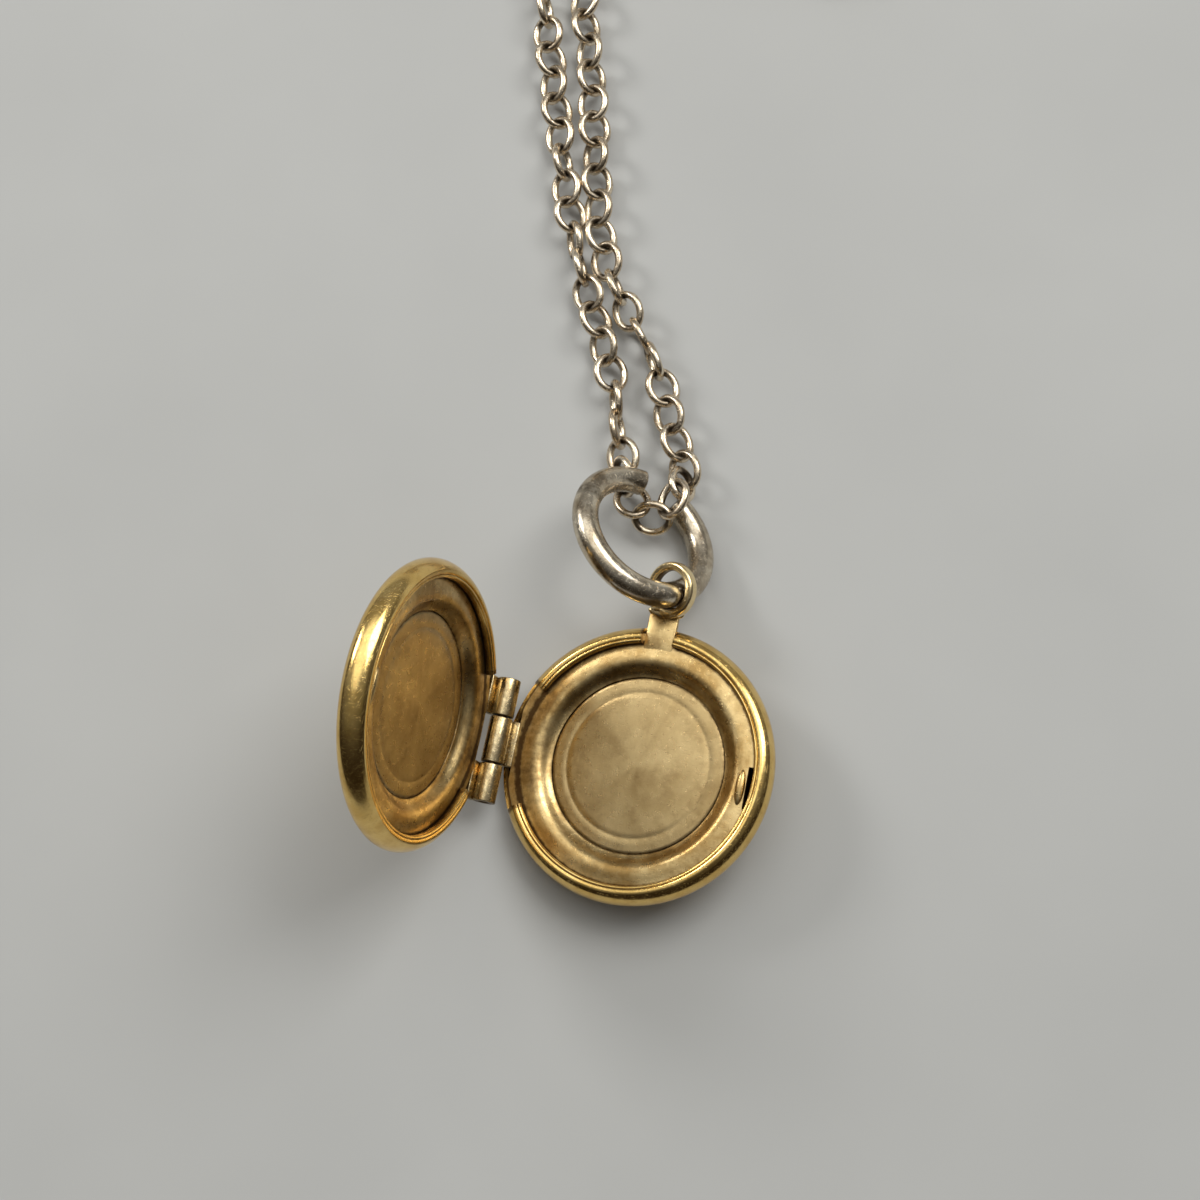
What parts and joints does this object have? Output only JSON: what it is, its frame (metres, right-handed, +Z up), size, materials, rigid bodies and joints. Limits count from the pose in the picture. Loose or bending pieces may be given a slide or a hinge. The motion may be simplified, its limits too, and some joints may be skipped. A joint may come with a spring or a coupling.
{
  "type": "round locket",
  "caption": "Small round picture locket, hinged open, hung by a heavy jump ring from a doubled trace chain with a bolt-ring clasp.",
  "frame": {"origin": "centre of the picture seat in the back half", "axes": "+Z up from the surface the locket lies on, +Y along the hinge towards the chain, +X towards the catch; the back half leans 12 degrees about Y towards its hinge"},
  "size_m": [0.0353, 0.0984, 0.0194],
  "materials": {
    "polished_gold": "polished gold tone",
    "satin_gold": "satin gold tone",
    "stained_gold": "dull stained gold tone",
    "tarnished_silver": "lightly tarnished silver"
  },
  "bodies": {
    "back": {"back_shell": "polished_gold", "back_plate": "satin_gold", "back_photo_disc": "stained_gold", "bail_loop": "polished_gold", "back_knuckle": "polished_gold", "hinge_pin": "polished_gold"},
    "lid": {"lid_shell": "polished_gold", "lid_plate": "satin_gold", "lid_photo_disc": "stained_gold", "lid_knuckle_upper": "polished_gold", "lid_knuckle_lower": "polished_gold"},
    "ring": {"jump_ring": "tarnished_silver"},
    "chain": {"chain_bight": "tarnished_silver", "chain_left": "tarnished_silver", "chain_right": "tarnished_silver", "chain_coil": "tarnished_silver", "chain_tail": "tarnished_silver", "clasp_body": "tarnished_silver", "clasp_spring": "tarnished_silver", "clasp_link": "tarnished_silver", "end_ring": "tarnished_silver"},
    "bolt": {"clasp_bolt": "tarnished_silver"}
  },
  "joints": [
    {"name": "lid_hinge", "type": "hinge", "parent": "back", "child": "lid", "pos_m": [-0.00938, 0, -0.00072], "axis": [0, -1, 0], "range_deg": [-93, 60]},
    {"name": "ring_swing", "type": "hinge", "parent": "back", "child": "ring", "pos_m": [0.00046, 0.01129, 0.00112], "axis": [0.5693, 0.4777, -0.6691], "range_deg": [0, 40]},
    {"name": "chain_level", "type": "hinge", "parent": "ring", "child": "chain", "pos_m": [-0.00526, 0.01811, 0.00112], "axis": [0.5693, 0.4777, -0.6691], "range_deg": [-40, 0]},
    {"name": "bolt_draw", "type": "hinge", "parent": "chain", "child": "bolt", "pos_m": [0.003, 0.0616, -0.00151], "axis": [0, 0, -1], "range_deg": [0, 30], "stiffness_Nm_per_rad": 0.0002}
  ],
  "couplings": [
    {"joint": "chain_level", "follows": "ring_swing", "ratio": -1}
  ]
}
